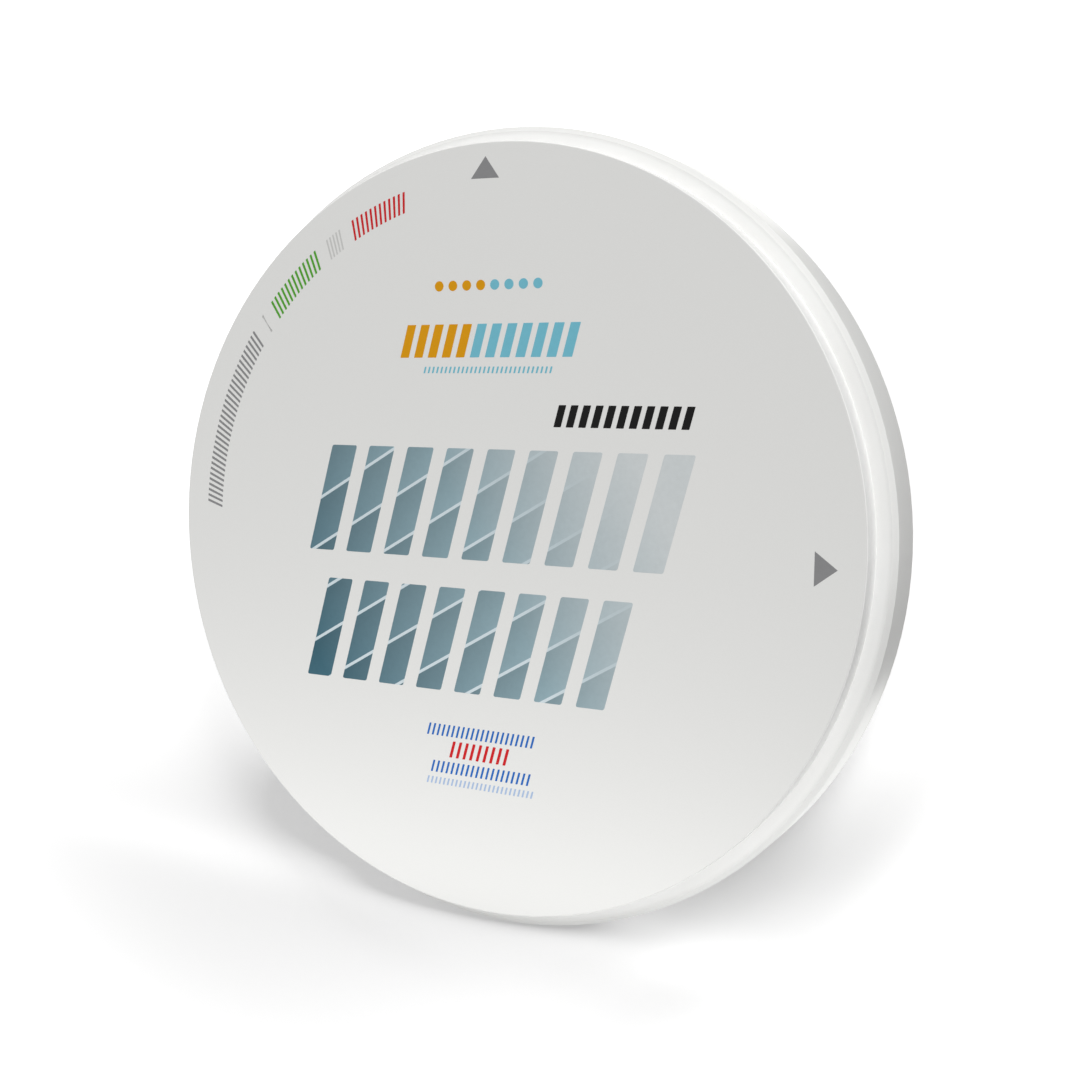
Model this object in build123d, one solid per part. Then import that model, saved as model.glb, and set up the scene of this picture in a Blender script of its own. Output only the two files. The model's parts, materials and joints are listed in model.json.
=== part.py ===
from build123d import *
import os

# Driving dimensions, in millimetres
collar_diameter = 98.5  # the rim that the holder of a milling machine clamps
body_diameter = 93.9
disc_thickness = 14.0
front_step = 3.5  # from the printed face back to the collar
collar_thickness = 7.7
collar_chamfer = 0.6
face_edge_radius = 0.2

# Heights above the back face, on which the disc lies
collar_top = disc_thickness - front_step
collar_bottom = collar_top - collar_thickness


def half_section():
    """Half of the cross-section: a thick body that steps out to one wide collar."""
    body_radius = body_diameter / 2
    collar_radius = collar_diameter / 2
    with BuildSketch(Plane.XZ) as section:
        with BuildLine():
            Polyline(
                (0, 0),
                (body_radius, 0),
                (body_radius, collar_bottom),
                (collar_radius, collar_bottom),
                (collar_radius, collar_top),
                (body_radius, collar_top),
                (body_radius, disc_thickness),
                (0, disc_thickness),
                close=True,
            )
        make_face()
        collar_corners = section.vertices().group_by(Axis.X)[-1]
        chamfer(collar_corners, collar_chamfer)
        body_corners = section.vertices().group_by(Axis.X)[1].sort_by(Axis.Y)
        fillet([body_corners[0], body_corners[-1]], face_edge_radius)
    return section.sketch


def milling_disc():
    """The one-piece blank: its section turned once round the upright axis."""
    return revolve(half_section(), Axis.Z, 360)


os.makedirs("parts", exist_ok=True)
export_step(milling_disc(), "parts/milling_disc.step")
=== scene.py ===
import json
import math

import bmesh
import bpy
import numpy as np
from mathutils import Matrix, Vector

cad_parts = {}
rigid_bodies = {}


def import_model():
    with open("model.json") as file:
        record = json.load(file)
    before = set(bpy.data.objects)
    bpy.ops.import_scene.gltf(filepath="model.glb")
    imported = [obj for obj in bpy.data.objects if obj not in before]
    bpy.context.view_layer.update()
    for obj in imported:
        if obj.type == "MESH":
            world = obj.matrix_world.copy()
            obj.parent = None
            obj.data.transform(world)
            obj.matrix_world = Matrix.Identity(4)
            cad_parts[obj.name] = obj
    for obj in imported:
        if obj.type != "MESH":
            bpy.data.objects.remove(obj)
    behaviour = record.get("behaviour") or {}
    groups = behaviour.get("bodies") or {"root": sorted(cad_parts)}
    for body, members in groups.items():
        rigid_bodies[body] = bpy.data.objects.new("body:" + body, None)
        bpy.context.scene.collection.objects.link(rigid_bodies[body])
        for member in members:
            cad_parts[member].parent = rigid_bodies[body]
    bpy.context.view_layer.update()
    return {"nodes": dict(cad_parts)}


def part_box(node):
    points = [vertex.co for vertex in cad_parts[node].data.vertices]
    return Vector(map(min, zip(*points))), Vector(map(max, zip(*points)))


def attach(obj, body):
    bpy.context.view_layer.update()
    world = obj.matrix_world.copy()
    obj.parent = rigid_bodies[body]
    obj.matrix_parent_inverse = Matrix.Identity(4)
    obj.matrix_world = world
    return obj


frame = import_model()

# A zirconia milling disc, lying on its back face. Metres, +Z up, the print's upper side towards +Y.
mm = 0.001
discLow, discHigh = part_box("milling_disc")
disc = {
    "node": frame["nodes"]["milling_disc"],
    "face": discHigh.z,  # height of the printed face
    "bodyRadius": discHigh.x - 2.3 * mm,  # the collar stands out 2.3 mm all round
    "chamferRadius": discHigh.x - 0.6 * mm,  # where the collar's chamfers begin
}
print("frame loaded, the disc is", round((discHigh.x - discLow.x) / mm, 1), "mm across")


def toLinear(hexColour):
    # sRGB hex to linear light: (s + 0.055) / 1.055 to the power 2.4 above the dark toe, s / 12.92 in it
    channels = [int(hexColour[i:i + 2], 16) / 255 for i in (1, 3, 5)]
    return tuple(s / 12.92 if s < 0.04045 else ((s + 0.055) / 1.055) ** 2.4 for s in channels) + (1.0,)


def addNode(tree, kind, inputs=None, **settings):
    # adds one node: an input takes either a value or the output socket that feeds it, and goes by its name
    # or number, where 6 and 7 are the two colours of a colour mix and 2 is its result
    node = tree.nodes.new("ShaderNode" + kind)
    for name, value in settings.items():
        setattr(node, name, value)
    for socket, value in (inputs or {}).items():
        if isinstance(value, bpy.types.NodeSocket):
            tree.links.new(value, node.inputs[socket])
        else:
            node.inputs[socket].default_value = value
    return node


def newMaterial(name):
    material = bpy.data.materials.new(name)
    material.use_nodes = True
    material.node_tree.nodes.clear()
    return material, material.node_tree


def finishMaterial(tree, shader):
    addNode(tree, "OutputMaterial", {"Surface": shader})


# Camera

camera = {
    "place": (83.85 * mm, 15.58 * mm, 158.44 * mm),
    "aim": (7.73 * mm, 0.0, 14.0 * mm),
    "pictureUp": (-0.0151, 1.0, 0.0),  # direction on the face that points up in the picture
    "lens": 45.96,
    "sensor": 36.0,
    "nearest": 0.01,  # m
    "farthest": 20.0,  # m
}


def addCamera(values):
    lens = bpy.data.cameras.new("camera")
    lens.lens = values["lens"]
    lens.sensor_width = values["sensor"]
    lens.clip_start = values["nearest"]
    lens.clip_end = values["farthest"]
    view = bpy.data.objects.new("camera", lens)
    back = (Vector(values["place"]) - Vector(values["aim"])).normalized()
    right = Vector(values["pictureUp"]).cross(back).normalized()
    up = back.cross(right)
    turn = Matrix((right, up, back)).transposed()
    view.matrix_world = Matrix.Translation(values["place"]) @ turn.to_4x4()
    bpy.context.scene.collection.objects.link(view)
    bpy.context.scene.camera = view


addCamera(camera)
print("camera placed")


# Zirconia

zirconia = {
    "white": "#f8f8f7",
    "shade": "#f4f4f2",  # where the powder was pressed a little denser
    "faceTone": "#dededc",  # the ground printed face, greyer than the turned shoulder
    "faceBelow": (0.06, 0.02),  # mm under the face's height at which its tone begins and is whole
    "faceInside": (0.10, 0.06),  # mm inside the body's side at which that tone is whole and ends
    "rimPaintedShade": "#e8e8e6",  # painted shade: the collar's side and chamfers drawn a little greyer, standing in for the shade on the side
    "rimShadeFrom": (-0.6, 0.3),  # mm out from the chamfer's inner edge at which the painted shade begins and is whole
    "grain": 0.15,  # mm, granules of spray-dried powder, drawn twice as coarse as they are
    "grainContrast": (0.3, 0.7),  # values of the noise that make the darkest and the lightest granules
    "grainDark": 0.985,  # tone of the darkest granules, as a share of the rest
    "cloud": 9.0,  # mm, slow changes of density
    "turning": 0.3,  # mm, feed of the turning tool, drawn coarse enough to show
    "grainDepth": 0.002,  # mm
    "turningDepth": 0.0006,  # mm
    "roughness": 0.62,
    "roughnessSpread": 0.06,
    "ior": 1.55,  # pores make the pressed powder act far below dense zirconia's 2.2
    "gloss": 0.2,  # most of the surface is loose grain, which sends back no sheen
}


def pressedZirconia(values):
    # pre-sintered zirconia, pressed from powder and turned: chalky matt white with a fine grain and faint
    # concentric tool marks, and no mirror reflections
    material, tree = newMaterial("pressedZirconia")
    place = addNode(tree, "TexCoord").outputs["Object"]
    axes = addNode(tree, "SeparateXYZ", {0: place}).outputs
    flat = addNode(tree, "CombineXYZ", {0: axes[0], 1: axes[1]}).outputs[0]
    radius = addNode(tree, "VectorMath", {0: flat}, operation="LENGTH").outputs["Value"]
    cloud = addNode(tree, "TexNoise", {"Vector": place, "Scale": 1 / (values["cloud"] * mm), "Detail": 3.0})
    grain = addNode(tree, "TexNoise", {"Vector": place, "Scale": 1 / (values["grain"] * mm), "Detail": 4.0})
    tone = addNode(
        tree, "Mix",
        {"Factor": cloud.outputs["Fac"], 6: toLinear(values["white"]), 7: toLinear(values["shade"])},
        data_type="RGBA",
    ).outputs[2]
    # the face counts from just under its height and inside its rounded edge
    top, side, chamfer = disc["face"], disc["bodyRadius"], disc["chamferRadius"]
    begins, whole = values["faceBelow"]
    onTop = addNode(
        tree, "MapRange", {"Value": axes[2], "From Min": top - begins * mm, "From Max": top - whole * mm},
    ).outputs[0]
    whole, ends = values["faceInside"]
    inside = addNode(
        tree, "MapRange",
        {"Value": radius, "From Min": side - whole * mm, "From Max": side - ends * mm,
         "To Min": 1.0, "To Max": 0.0},
    ).outputs[0]
    face = addNode(tree, "Math", {0: onTop, 1: inside}, operation="MULTIPLY").outputs[0]
    tone = addNode(
        tree, "Mix", {"Factor": face, 6: tone, 7: toLinear(values["faceTone"])}, data_type="RGBA",
    ).outputs[2]
    # painted shade: the rim is drawn greyer over the outer part of the shoulder, the chamfer and the side
    begins, whole = values["rimShadeFrom"]
    rim = addNode(
        tree, "MapRange",
        {"Value": radius, "From Min": chamfer + begins * mm, "From Max": chamfer + whole * mm},
        interpolation_type="SMOOTHSTEP",
    ).outputs[0]
    tone = addNode(
        tree, "Mix", {"Factor": rim, 6: tone, 7: toLinear(values["rimPaintedShade"])}, data_type="RGBA",
    ).outputs[2]
    darkest, lightest = values["grainContrast"]
    speck = addNode(
        tree, "MapRange",
        {"Value": grain.outputs["Fac"], "From Min": darkest, "From Max": lightest,
         "To Min": values["grainDark"]},
    ).outputs[0]
    tone = addNode(
        tree, "Mix", {"Factor": 1.0, 6: tone, 7: speck}, data_type="RGBA", blend_type="MULTIPLY",
    ).outputs[2]
    # tool marks: a sine of the way along the surface, which is the radius on flats and the height on sides
    along = addNode(tree, "Math", {0: radius, 1: axes[2]}, operation="ADD").outputs[0]
    turns = addNode(
        tree, "Math", {0: along, 1: 2 * math.pi / (values["turning"] * mm)}, operation="MULTIPLY",
    ).outputs[0]
    marks = addNode(tree, "Math", {0: turns}, operation="SINE").outputs[0]
    toolMarks = addNode(
        tree, "Bump", {"Height": marks, "Distance": values["turningDepth"] * mm, "Strength": 1.0},
    ).outputs[0]
    relief = addNode(
        tree, "Bump",
        {"Height": grain.outputs["Fac"], "Distance": values["grainDepth"] * mm, "Strength": 1.0,
         "Normal": toolMarks},
    ).outputs[0]
    roughness, spread = values["roughness"], values["roughnessSpread"]
    rough = addNode(
        tree, "MapRange",
        {"Value": grain.outputs["Fac"], "To Min": roughness - spread, "To Max": roughness + spread},
    ).outputs[0]
    shader = addNode(
        tree, "BsdfPrincipled",
        {"Base Color": tone, "Roughness": rough, "IOR": values["ior"], "Specular IOR Level": values["gloss"],
         "Normal": relief},
    )
    finishMaterial(tree, shader.outputs[0])
    return material


disc["node"].material_slots[0].material = pressedZirconia(zirconia)
print("zirconia finished")


# Ink films

film = {
    "thickness": 0.012 * mm,
    "sunk": 0.008 * mm,  # how far the film reaches into the disc, so that no gap shows under it
    "lip": 0.03 * mm,  # width of its sloping rim
    "edge": 0.4,  # height of its upright edge over the face, as a share of the thickness
    "innerRing": 0.5,  # size of the ring between the lip and the middle, as a share of the lip's
    "onePoint": 1e-8,  # m, points closer than this are one point
}


def filmRings(outlines):
    # A film is a surface of two parameters: which ring, and how far round the outline.
    # Ring k is the outline shrunk towards its middle, at the height of that ring, from the middle of the
    # underside, out to the rim, over the lip and in to the middle of the top.
    # outlines has the shape (films, points round, 2).
    middle = outlines.mean(axis=1, keepdims=True)
    reach = np.linalg.norm(outlines - middle, axis=2, keepdims=True)
    inset = 1 - film["lip"] / reach
    nothing, whole = np.zeros_like(inset), np.ones_like(inset)
    low, high = disc["face"] - film["sunk"], disc["face"] + film["thickness"]
    shrink = [nothing, whole, whole, inset, film["innerRing"] * inset, nothing]
    heights = [low, low, disc["face"] + film["edge"] * film["thickness"], high, high, high]
    rings = [
        np.concatenate([middle + s * (outlines - middle), np.full(outlines.shape[:2] + (1,), z)], axis=2)
        for s, z in zip(shrink, heights)
    ]
    return np.stack(rings, axis=1)  # films, rings, points round, 3


def addFilm(name, outlines, material):
    # the rings' points are joined in squares from ring to ring, and each film closes on itself
    grid = filmRings(outlines)
    films, rings, around = grid.shape[:3]
    here = np.arange(films * rings * around).reshape(films, rings, around)
    onward = np.roll(here, -1, axis=2)
    faces = np.stack([here[:, :-1], onward[:, :-1], onward[:, 1:], here[:, 1:]], axis=3).reshape(-1, 4)
    mesh = bpy.data.meshes.new(name)
    mesh.from_pydata(grid.reshape(-1, 3).tolist(), [], faces.tolist())
    piece = bpy.data.objects.new(name, mesh)
    bpy.context.scene.collection.objects.link(piece)
    closePoles(mesh)
    mesh.materials.append(material)
    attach(piece, "root")


def closePoles(mesh):
    # the middles of the top and the underside become one point each, and all faces turn outward
    work = bmesh.new()
    work.from_mesh(mesh)
    bmesh.ops.remove_doubles(work, verts=work.verts, dist=film["onePoint"])
    bmesh.ops.dissolve_degenerate(work, edges=work.edges, dist=film["onePoint"])
    bmesh.ops.recalc_face_normals(work, faces=work.faces)
    work.to_mesh(mesh)
    work.free()


barForm = {
    "slant": 0.27,  # sideways lean for each millimetre of height
    "cornerSteps": 4,
}


def barOutlines(centres, width, height, corner):
    # A bar's outline is a rectangle with quarter-circle corners, each point shifted sideways by the slant
    # times its height above the bar's middle. centres has the shape (bars, 2).
    turn = np.linspace(0, math.pi / 2, barForm["cornerSteps"])
    quarter = np.arange(4)[:, None] * math.pi / 2 + turn[None, :]
    signX = np.array([1, -1, -1, 1])[:, None]
    signY = np.array([1, 1, -1, -1])[:, None]
    x = signX * (width / 2 - corner) + corner * np.cos(quarter)
    y = signY * (height / 2 - corner) + corner * np.sin(quarter)
    outline = np.stack([x + barForm["slant"] * y, y], axis=-1).reshape(-1, 2)
    return centres[:, None, :] + outline[None, :, :]


def rowOfBars(left, right, low, high, bars, fill, corner):
    # evenly spaced bars that fill a box from left to right, the slant included: the box's width less the
    # lean is one pitch for every bar but the last and that bar's own width, and fill is bar over pitch
    lean = barForm["slant"] * (high - low)
    pitch = (right - left - lean) / (bars - 1 + fill)
    width = pitch * fill
    x = left + lean / 2 + width / 2 + pitch * np.arange(bars)
    centres = np.stack([x, np.full(bars, (low + high) / 2)], axis=1)
    return barOutlines(centres * mm, width * mm, (high - low) * mm, corner * mm)


def bendRound(outlines, radius):
    # carries a straight row round the disc: x becomes the way along a circle, y the way out from it
    angle = math.pi / 2 - outlines[..., 0] / radius
    out = radius + outlines[..., 1]
    return np.stack([out * np.cos(angle), out * np.sin(angle)], axis=-1)


ink = {
    "mottle": 0.6,  # mm, patches where the pad left a little more ink
    "mottleSpread": 0.05,  # how far a patch departs from the mean tone
    "pinhole": 0.12,  # mm, pores of the chalky ground, which the ink doesn't fill
    "pinholeDepth": 0.002,  # mm
    "roughness": 0.6,
    "ior": 1.5,
    "gloss": 0.12,
}


def padPrintedInk(name, colour):
    # pad-printed ink: a thin matt film, even from a step away, with a slight mottle close up. The colour is
    # a hex value, or a function that adds the nodes of a pattern.
    material, tree = newMaterial(name)
    place = addNode(tree, "TexCoord").outputs["Object"]
    if isinstance(colour, str):
        colour = toLinear(colour)
    else:
        colour = colour(tree, place)
    mottle = addNode(tree, "TexNoise", {"Vector": place, "Scale": 1 / (ink["mottle"] * mm), "Detail": 2.0})
    pores = addNode(tree, "TexNoise", {"Vector": place, "Scale": 1 / (ink["pinhole"] * mm), "Detail": 2.0})
    spread = ink["mottleSpread"]
    level = addNode(
        tree, "MapRange", {"Value": mottle.outputs["Fac"], "To Min": 1 - spread, "To Max": 1 + spread},
    ).outputs[0]
    tone = addNode(
        tree, "Mix", {"Factor": 1.0, 6: colour, 7: level}, data_type="RGBA", blend_type="MULTIPLY",
    ).outputs[2]
    relief = addNode(
        tree, "Bump",
        {"Height": pores.outputs["Fac"], "Distance": ink["pinholeDepth"] * mm, "Strength": 1.0},
    ).outputs[0]
    shader = addNode(
        tree, "BsdfPrincipled",
        {"Base Color": tone, "Roughness": ink["roughness"], "IOR": ink["ior"],
         "Specular IOR Level": ink["gloss"], "Normal": relief},
    )
    finishMaterial(tree, shader.outputs[0])
    return material


inkColours = {
    "greyPadInk": "#858586",
    "silverPadInk": "#c2c2c0",
    "greenPadInk": "#4f9a2a",
    "redPadInk": "#c31d22",
    "amberPadInk": "#d29206",
    "tealPadInk": "#6fb4c6",
    "blackPadInk": "#0d0d0d",
    "bluePadInk": "#2464b2",
    "paleBluePadInk": "#9fb4d2",
}


def inkOf(name):
    return bpy.data.materials.get(name) or padPrintedInk(name, inkColours[name])


# Two arrowheads show which way round the disc goes into its holder

arrowheads = {
    "base": 3.85,
    "height": 2.57,
    "topApex": (-0.27, 45.26),
    "rightApex": (43.76, -1.26),
    "topTurn": -1.0,  # degrees that each leans from the straight way out
    "rightTurn": 0.0,
    "pointsToSide": 3,
}


def arrowOutline(apex, direction, values):
    # an isosceles triangle by its apex and the direction that it points in: each side runs in even steps
    # from one corner to the next
    out = np.array([math.cos(direction), math.sin(direction)])
    side = np.array([-out[1], out[0]])
    tip = np.array(apex)
    foot = tip - out * values["height"]
    corners = np.array([tip, foot + side * values["base"] / 2, foot - side * values["base"] / 2])
    way = np.linspace(0, 1, values["pointsToSide"], endpoint=False)[:, None]
    sides = [a + (b - a) * way for a, b in zip(corners, np.roll(corners, -1, axis=0))]
    return np.concatenate(sides) * mm


def addArrowheads(values):
    # each points straight out but for its own small turn
    top = arrowOutline(values["topApex"], math.radians(90 + values["topTurn"]), values)
    right = arrowOutline(values["rightApex"], math.radians(values["rightTurn"]), values)
    addFilm("arrowheads", np.stack([top, right]), inkOf("greyPadInk"))


addArrowheads(arrowheads)
print("arrowheads printed")


# A scale of thin strokes runs round the upper left of the rim

rimStrokes = {
    "radius": 42.15,
    "height": 2.5,
    "fill": 0.44,
    "corner": 0.04,
    # name, first and last angle in degrees, strokes, ink
    "runs": [
        ("rimStrokesGrey", 177.6, 144.4, 34, "greyPadInk"),
        ("rimDivider", 142.0, 141.3, 1, "silverPadInk"),
        ("rimStrokesGreen", 139.2, 125.6, 13, "greenPadInk"),
        ("rimStrokesPale", 123.8, 119.6, 5, "silverPadInk"),
        ("rimStrokesRed", 117.8, 105.6, 12, "redPadInk"),
    ],
}


def addRimStrokes(values):
    # each run is a straight row as long as its arc, which is then bent round the rim
    radius, half = values["radius"], values["height"] / 2
    for name, first, last, strokes, inkName in values["runs"]:
        start = math.radians(90 - first) * radius
        end = math.radians(90 - last) * radius
        row = rowOfBars(start, end, -half, half, strokes, values["fill"], values["corner"])
        addFilm(name, bendRound(row, radius * mm), inkOf(inkName))


addRimStrokes(rimStrokes)
print("rim strokes printed")


# A row of round dots

dots = {
    "from": -6.6,
    "to": 7.0,
    "height": 30.2,
    "diameter": 1.25,
    "amber": 4,  # dots of each colour, the amber ones first
    "teal": 4,
    "pointsRound": 24,
}


def addDots(values):
    # each outline is a circle: half the diameter times the cosine and sine of even steps round
    count = values["amber"] + values["teal"]
    x = np.linspace(values["from"], values["to"], count)
    centres = np.stack([x, np.full(count, values["height"])], axis=1)
    turn = np.linspace(0, 2 * math.pi, values["pointsRound"], endpoint=False)
    circle = np.stack([np.cos(turn), np.sin(turn)], axis=1) * values["diameter"] / 2
    outlines = (centres[:, None, :] + circle[None, :, :]) * mm
    addFilm("amberDots", outlines[:values["amber"]], inkOf("amberPadInk"))
    addFilm("tealDots", outlines[values["amber"]:], inkOf("tealPadInk"))


addDots(dots)
print("dots printed")


# Rows of small plain bars

barRows = {
    "corner": 0.06,
    # name, left, right, low, high, bars, fill, ink
    "rows": [
        ("amberBars", -12.2, -1.9, 21.6, 25.6, 5, 0.62, "amberPadInk"),
        ("tealBars", -2.2, 12.7, 21.6, 25.6, 7, 0.62, "tealPadInk"),
        ("tealRule", -8.8, 9.1, 19.7, 20.5, 30, 0.4, "tealPadInk"),
        ("blackBars", 9.3, 27.1, 13.4, 16.0, 11, 0.6, "blackPadInk"),
        ("blueBarsUpper", -8.0, 7.4, -25.4, -23.9, 22, 0.4, "bluePadInk"),
        ("redBars", -4.7, 3.9, -28.0, -25.9, 9, 0.42, "redPadInk"),
        ("blueBarsLower", -7.4, 6.9, -30.1, -28.6, 20, 0.4, "bluePadInk"),
        ("paleBars", -8.0, 7.3, -31.6, -30.7, 26, 0.4, "paleBluePadInk"),
    ],
}


def addBarRows(values):
    # each row fills its box with bars
    for name, left, right, low, high, bars, fill, inkName in values["rows"]:
        row = rowOfBars(left, right, low, high, bars, fill, values["corner"])
        addFilm(name, row, inkOf(inkName))


addBarRows(barRows)
print("small rows printed")


# Two wide rows of bars in blue-grey carry the main field of colour

wideBars = {
    # left, right, low, high, bars
    "upper": (-26.2, 27.3, -3.0, 10.6, 9),
    "lower": (-26.6, 20.0, -19.6, -6.6, 8),
    "fill": 0.66,
    "corner": 0.25,
    "deep": "#3c6270",
    "mid": "#88a0a8",
    "pale": "#c6cbcc",
    "fadeWay": (0.86, 0.5, 0.0),  # direction on the face from deep to pale
    "fadeFrom": -30.0,  # mm along it at which the fade begins and ends
    "fadeTo": 22.0,
    "midAt": 0.55,  # share of the fade at which the middle colour stands
    "pleat": 5.2,  # mm from one pleat to the next
    "pleatWay": (-0.5, 0.86, 0.0),  # direction from one pleat to the next
    "pleatTone": (1.08, 0.78),  # tone where a pleat begins and ends, as a share of the colour
    "pleatLine": "#c9d5da",
    "lineFrom": 0.93,  # share of a pleat past which its line stands
    "plainFrom": (0.55, 0.9),  # shares of the fade between which the pleats die out
}


def pleatedBlue(tree, place):
    # deep teal at the lower left fades to pale grey-blue at the upper right, under straight slanting pleats:
    # each pleat darkens steadily up to a thin light line
    values = wideBars
    way = addNode(
        tree, "VectorMath", {0: place, 1: values["fadeWay"]}, operation="DOT_PRODUCT",
    ).outputs["Value"]
    fade = addNode(
        tree, "MapRange",
        {"Value": way, "From Min": values["fadeFrom"] * mm, "From Max": values["fadeTo"] * mm},
    ).outputs[0]
    ramp = addNode(tree, "ValToRGB", {"Fac": fade})
    stops = ramp.color_ramp.elements
    stops[0].color = toLinear(values["deep"])
    stops[1].color = toLinear(values["pale"])
    stops.new(values["midAt"]).color = toLinear(values["mid"])
    # the part of a pleat is the remainder of the way across them, counted in pleats
    across = addNode(
        tree, "VectorMath", {0: place, 1: values["pleatWay"]}, operation="DOT_PRODUCT",
    ).outputs["Value"]
    count = addNode(tree, "Math", {0: across, 1: 1 / (values["pleat"] * mm)}, operation="MULTIPLY").outputs[0]
    part = addNode(tree, "Math", {0: count, 1: 1.0}, operation="FLOORED_MODULO").outputs[0]
    first, last = values["pleatTone"]
    depth = addNode(tree, "MapRange", {"Value": part, "To Min": first, "To Max": last}).outputs[0]
    shaded = addNode(
        tree, "Mix", {"Factor": 1.0, 6: ramp.outputs[0], 7: depth}, data_type="RGBA", blend_type="MULTIPLY",
    ).outputs[2]
    line = addNode(tree, "Math", {0: part, 1: values["lineFrom"]}, operation="GREATER_THAN").outputs[0]
    lined = addNode(
        tree, "Mix", {"Factor": line, 6: shaded, 7: toLinear(values["pleatLine"])}, data_type="RGBA",
    ).outputs[2]
    # the pleats die out towards the pale end
    begins, whole = values["plainFrom"]
    plain = addNode(tree, "MapRange", {"Value": fade, "From Min": begins, "From Max": whole}).outputs[0]
    return addNode(
        tree, "Mix", {"Factor": plain, 6: lined, 7: ramp.outputs[0]}, data_type="RGBA",
    ).outputs[2]


def addWideBars(values):
    # both rows fill their boxes with bars of one ink, so that the fade runs through them as one
    inkBlue = padPrintedInk("pleatedBlueInk", pleatedBlue)
    for row in ("upper", "lower"):
        left, right, low, high, bars = values[row]
        outlines = rowOfBars(left, right, low, high, bars, values["fill"], values["corner"])
        addFilm("wideBars" + row.capitalize(), outlines, inkBlue)


addWideBars(wideBars)
print("wide bars printed")


# Studio

def seenDirectly(tree):
    # one for camera rays and for what gloss or glass would show, zero for light on its way to the disc
    path = addNode(tree, "LightPath").outputs
    direct = addNode(tree, "Math", {0: path["Is Camera Ray"], 1: path["Is Glossy Ray"]}, operation="MAXIMUM")
    seen = addNode(
        tree, "Math", {0: direct.outputs[0], 1: path["Is Transmission Ray"]}, operation="MAXIMUM",
    )
    return seen.outputs[0]


paperFloor = {
    "size": 3.0,  # m
    "bounce": "#404040",  # what the floor sends back to the disc
    "seen": "#ffffff",  # what the camera sees of it, with the glow below added
    "glow": 0.50,  # keeps the floor white beside the disc
    # painted shadows: soft elliptical shades cut into the glow: x, y in mm, degrees turned, length and width
    # in mm, and depth, which is below zero in the two painted light streaks
    "paintedShadows": [
        (-65.0, -59.5, -10.0, 61.0, 33.0, 0.37),
        (-15.6, -43.6, -4.0, 22.6, 8.2, 1.40),
        (33.5, -43.6, 44.3, 29.7, 9.4, 0.49),
        (-7.4, -51.9, 0.6, 13.9, 1.7, 1.20),
        (0.0, -52.8, -1.2, 74.7, 4.1, -0.21),
        (25.9, -50.7, 30.1, 15.0, 4.4, -0.24),
    ],
    # mm from the axis: a painted contact shadow, with no glow inside the first, under the disc, and all of it
    # from the second
    "paintedContact": (44.5, 48.5),
    "sink": 0.05,  # mm that the floor lies below the disc
    "clearWithin": 0.3,  # mm, light that leaves the disc's back passes a floor nearer than this
}


def glowOfFloor(tree, place, values):
    # the level of the glow: the plain level less a bell curve of painted shadow for each shade, which is its
    # depth times e to the minus square of the distance, counted in lengths and widths
    level = values["glow"]
    for x, y, turn, length, width, depth in values["paintedShadows"]:
        local = addNode(
            tree, "Mapping",
            {"Vector": place, "Location": (x * mm, y * mm, 0.0), "Rotation": (0.0, 0.0, math.radians(turn)),
             "Scale": (length * mm, width * mm, 1.0)},
            vector_type="TEXTURE",
        ).outputs[0]
        square = addNode(tree, "VectorMath", {0: local, 1: local}, operation="DOT_PRODUCT").outputs["Value"]
        bell = addNode(tree, "Math", {0: 1 / math.e, 1: square}, operation="POWER").outputs[0]
        level = addNode(tree, "Math", {0: bell, 1: -depth, 2: level}, operation="MULTIPLY_ADD").outputs[0]
    level = addNode(tree, "Math", {0: level, 1: 0.0}, operation="MAXIMUM").outputs[0]
    # and none of it under the disc, a painted contact shadow
    outward = addNode(tree, "VectorMath", {0: place}, operation="LENGTH").outputs["Value"]
    dark, light = values["paintedContact"]
    uncovered = addNode(
        tree, "MapRange", {"Value": outward, "From Min": dark * mm, "From Max": light * mm},
        interpolation_type="SMOOTHSTEP",
    ).outputs[0]
    return addNode(tree, "Math", {0: level, 1: uncovered}, operation="MULTIPLY").outputs[0]


def paleFloorPaper(values):
    # matt paper: the eye sees plain white with the disc's soft shadow, partly real shadow from the lamps and
    # partly painted shadow in the glow, and the disc gets little light from it
    material, tree = newMaterial("palePaperFloor")
    seen = seenDirectly(tree)
    tone = addNode(
        tree, "Mix", {"Factor": seen, 6: toLinear(values["bounce"]), 7: toLinear(values["seen"])},
        data_type="RGBA",
    ).outputs[2]
    paper = addNode(tree, "BsdfDiffuse", {"Color": tone})
    place = addNode(tree, "TexCoord").outputs["Object"]
    level = glowOfFloor(tree, place, values)
    strength = addNode(tree, "Math", {0: seen, 1: level}, operation="MULTIPLY").outputs[0]
    glow = addNode(tree, "Emission", {"Color": (1, 1, 1, 1), "Strength": strength})
    both = addNode(tree, "AddShader", {0: paper.outputs[0], 1: glow.outputs[0]})
    # from below the floor is clear, and light reaches the disc's back through it
    path = addNode(tree, "LightPath").outputs
    behind = addNode(tree, "NewGeometry").outputs["Backfacing"]
    close = addNode(
        tree, "Math", {0: path["Ray Length"], 1: values["clearWithin"] * mm}, operation="LESS_THAN",
    )
    aside = addNode(tree, "Math", {0: 1.0, 1: path["Is Camera Ray"]}, operation="SUBTRACT")
    under = addNode(tree, "Math", {0: close.outputs[0], 1: aside.outputs[0]}, operation="MULTIPLY")
    clear = addNode(tree, "Math", {0: behind, 1: under.outputs[0]}, operation="MAXIMUM")
    floorOrClear = addNode(
        tree, "MixShader",
        {0: clear.outputs[0], 1: both.outputs[0], 2: addNode(tree, "BsdfTransparent").outputs[0]},
    )
    finishMaterial(tree, floorOrClear.outputs[0])
    return material


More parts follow.
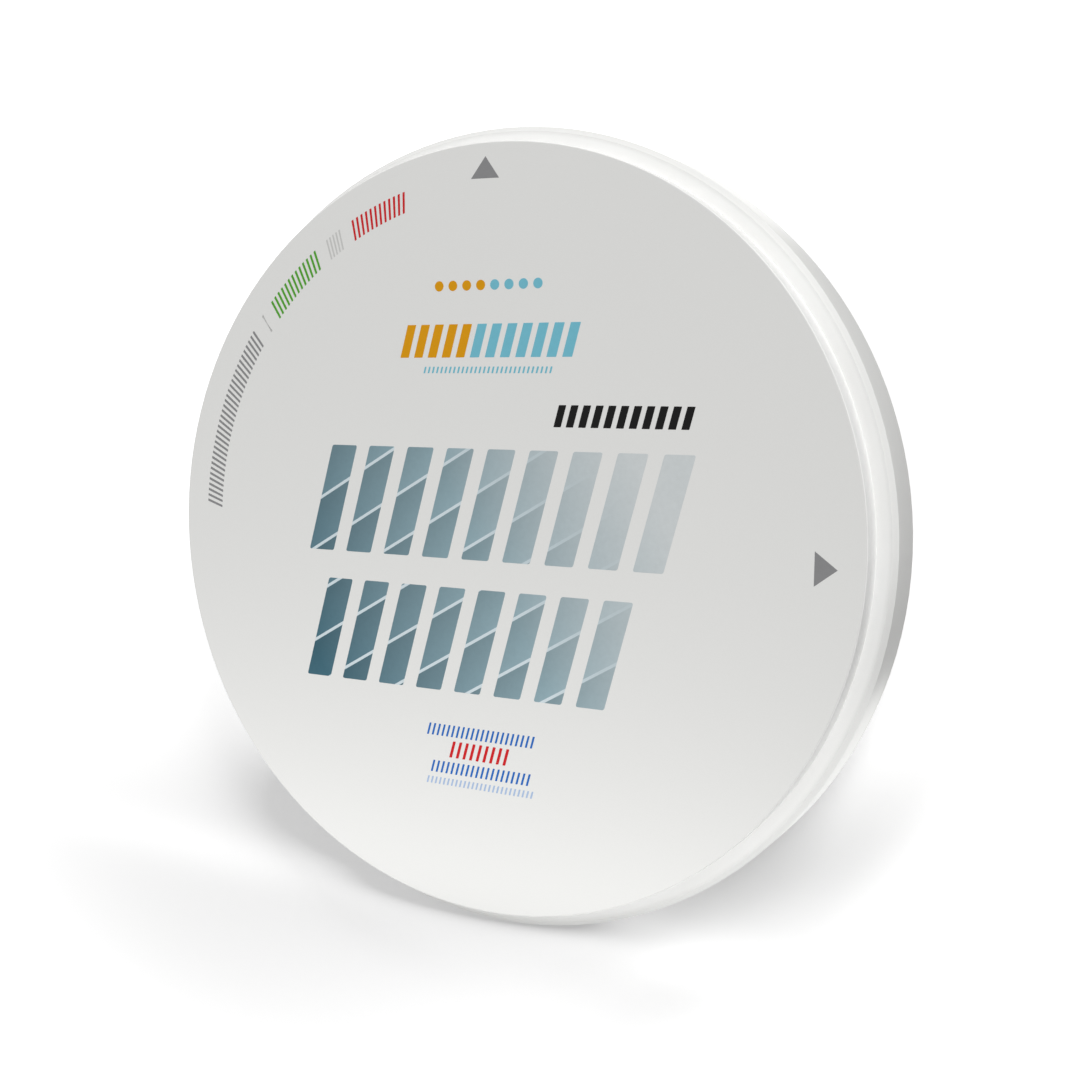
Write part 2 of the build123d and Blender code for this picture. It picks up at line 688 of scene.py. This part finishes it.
def addFloor(values):
    # one flat square
    half = values["size"] / 2
    z = -values["sink"] * mm
    corners = [(-half, -half, z), (half, -half, z), (half, half, z), (-half, half, z)]
    mesh = bpy.data.meshes.new("floor")
    mesh.from_pydata(corners, [], [(0, 1, 2, 3)])
    floor = bpy.data.objects.new("floor", mesh)
    bpy.context.scene.collection.objects.link(floor)
    mesh.materials.append(paleFloorPaper(values))


addFloor(paperFloor)
print("floor laid")


sky = {
    "level": 0.50,  # what lights the disc
    "seen": 1.0,  # what the camera sees, plain white
}


def addSky(values):
    world = bpy.data.worlds.new("studioWorld")
    world.use_nodes = True
    tree = world.node_tree
    tree.nodes.clear()
    seen = seenDirectly(tree)
    level = addNode(
        tree, "MapRange", {"Value": seen, "To Min": values["level"], "To Max": values["seen"]},
    ).outputs[0]
    light = addNode(tree, "Background", {"Color": (1, 1, 1, 1), "Strength": level})
    addNode(tree, "OutputWorld", {"Surface": light.outputs[0]})
    bpy.context.scene.world = world


addSky(sky)
print("sky lit")


def addLamp(name, place, facing, width, height, watts):
    lamp = bpy.data.lights.new(name, "AREA")
    lamp.shape = "RECTANGLE"
    lamp.size = width
    lamp.size_y = height
    lamp.energy = watts
    holder = bpy.data.objects.new(name, lamp)
    holder.location = place
    holder.rotation_euler = facing.to_track_quat("-Z", "Y").to_euler()
    holder.visible_camera = False
    bpy.context.scene.collection.objects.link(holder)
    return holder


lamps = {
    "aim": (0.0, 0.0, 10.0 * mm),
    # name, degrees round from +X towards +Y, degrees up, distance and size in metres, and level, which is
    # what a white surface that faces the lamp shows
    "lamps": [
        ("keyUpperRight", 57, 25, 1.5, 0.70, 0.54),
        ("fillUpperLeft", 140, 40, 1.5, 0.70, 0.20),
    ],
}


def addLamps(values):
    # a lamp stands on a sphere round its aim, and its watts are the level times the square of pi times the
    # distance
    for name, around, up, distance, size, level in values["lamps"]:
        around, up = math.radians(around), math.radians(up)
        way = Vector((math.cos(up) * math.cos(around), math.cos(up) * math.sin(around), math.sin(up)))
        watts = level * (math.pi * distance) ** 2
        addLamp(name, Vector(values["aim"]) + distance * way, -way, size, size, watts)


addLamps(lamps)
print("lamps placed")


# Cards beside the disc stand for the white surround that a studio puts round a white thing

def discAndPrint():
    # what the cards light: not the floor, where they would wash out the shadow
    lit = bpy.data.collections.new("discAndPrint")
    for thing in bpy.context.scene.objects:
        if thing.type == "MESH" and thing.name != "floor":
            lit.objects.link(thing)
    return lit


def addCard(name, middle, facing, width, height, level, lit):
    # a card is as bright as a white sheet of that level, so its watts are level times pi times its area
    watts = level * math.pi * width * mm * height * mm
    card = addLamp(name, Vector(middle) * mm, Vector(facing), width * mm, height * mm, watts)
    card.light_linking.receiver_collection = lit


lowStrip = {
    "from": 52.0,  # mm from the disc's axis, on the print's lower side
    "low": 19.0,
    "high": 52.0,
    "left": -110.0,
    "right": 62.0,
    "level": 1.25,
}


def addLowStrip(values, lit):
    middle = ((values["left"] + values["right"]) / 2, -values["from"], (values["low"] + values["high"]) / 2)
    width, height = values["right"] - values["left"], values["high"] - values["low"]
    addCard("lowStrip", middle, (0, 1, 0), width, height, values["level"], lit)


rimCards = {
    "from": 52.0,  # mm from the axis to the middle of each
    "length": 22.5,
    # cards that stand close round the rim and face it: degrees round, low and high edge in mm, level
    "cards": [
        (-30.2, 1.0, 10.7, 0.80),
        (-54.0, 1.0, 10.7, 0.66),
        (-78.0, 1.0, 10.7, 0.46),
        (-102.0, 1.0, 10.0, 0.25),
        (58.0, 1.0, 9.7, 0.50),
        (82.0, 1.0, 9.7, 0.24),
        (106.0, 1.0, 9.7, 0.10),
        (9.0, 11.2, 14.2, 0.36),
        (35.0, 11.2, 14.2, 0.36),
    ],
}


def addRimCards(values, lit):
    for around, low, high, level in values["cards"]:
        around = math.radians(around)
        x, y = math.cos(around), math.sin(around)
        middle = (x * values["from"], y * values["from"], (low + high) / 2)
        addCard("rimCard", middle, (-x, -y, 0), values["length"], high - low, level, lit)


litThings = discAndPrint()
addLowStrip(lowStrip, litThings)
addRimCards(rimCards, litThings)
print("cards placed")

bpy.context.scene.view_settings.view_transform = "Standard"
